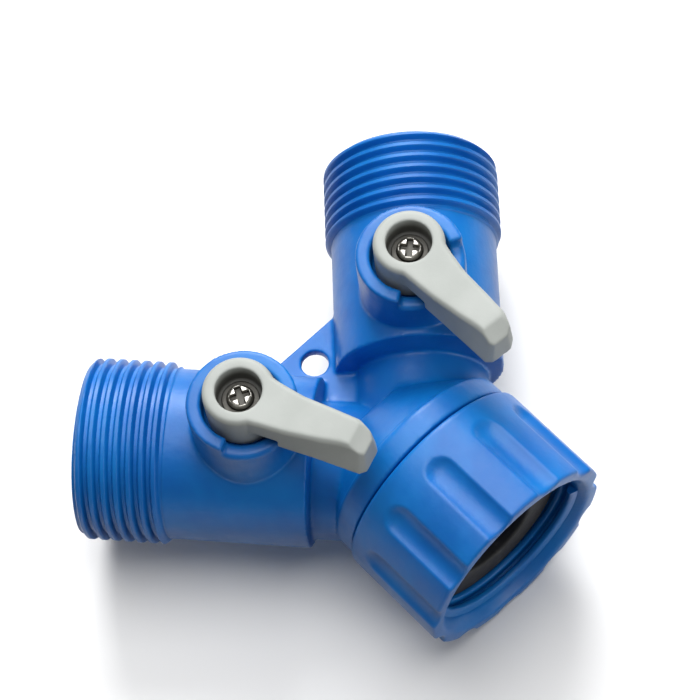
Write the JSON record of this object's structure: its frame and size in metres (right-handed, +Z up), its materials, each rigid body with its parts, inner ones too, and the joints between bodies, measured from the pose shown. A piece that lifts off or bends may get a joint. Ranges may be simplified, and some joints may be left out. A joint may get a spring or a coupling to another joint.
{
  "type": "hose splitter",
  "caption": "Two-way garden hose splitter: Y-shaped manifold with a fluted swivel nut inlet and ball-valved male outlets turned by short levers.",
  "frame": {"origin": "centre of the swivel nut's mouth, on the inlet's axis", "axes": "+Y along the inlet's axis from the mouth into the body, +X towards the right outlet, +Z up, on the side of the levers"},
  "size_m": [0.0834, 0.0639, 0.0406],
  "materials": {
    "blue_plastic": "semi-gloss moulded polypropylene, saturated blue",
    "grey_plastic": "satin moulded plastic, light warm grey",
    "white_plastic": "natural white acetal",
    "steel": "bright zinc-plated steel",
    "black_rubber": "matt black rubber"
  },
  "bodies": {
    "manifold": {"manifold_body": "blue_plastic", "inlet_tailpiece": "blue_plastic", "tailpiece_oring": "black_rubber", "inlet_washer": "black_rubber", "right_inner_seat": "black_rubber", "right_outer_seat": "black_rubber", "right_seat_retainer": "blue_plastic", "right_retainer_oring": "black_rubber", "left_inner_seat": "black_rubber", "left_outer_seat": "black_rubber", "left_seat_retainer": "blue_plastic", "left_retainer_oring": "black_rubber"},
    "nut": {"swivel_nut": "blue_plastic"},
    "right_valve": {"right_lever": "grey_plastic", "right_lever_screw": "steel", "right_stem": "white_plastic", "right_stem_lower_oring": "black_rubber", "right_stem_upper_oring": "black_rubber", "right_ball": "white_plastic"},
    "left_valve": {"left_lever": "grey_plastic", "left_lever_screw": "steel", "left_stem": "white_plastic", "left_stem_lower_oring": "black_rubber", "left_stem_upper_oring": "black_rubber", "left_ball": "white_plastic"}
  },
  "joints": [
    {"name": "nut_spin", "type": "hinge", "parent": "manifold", "child": "nut", "pos_m": [0, 0, 0], "axis": [0, -1, 0], "continuous": true},
    {"name": "right_valve_turn", "type": "hinge", "parent": "manifold", "child": "right_valve", "pos_m": [0.01607, 0.03726, 0], "axis": [0, 0, 1], "range_deg": [-36.5, 53.5]},
    {"name": "left_valve_turn", "type": "hinge", "parent": "manifold", "child": "left_valve", "pos_m": [-0.01607, 0.03726, 0], "axis": [0, 0, -1], "range_deg": [-21, 69]}
  ]
}
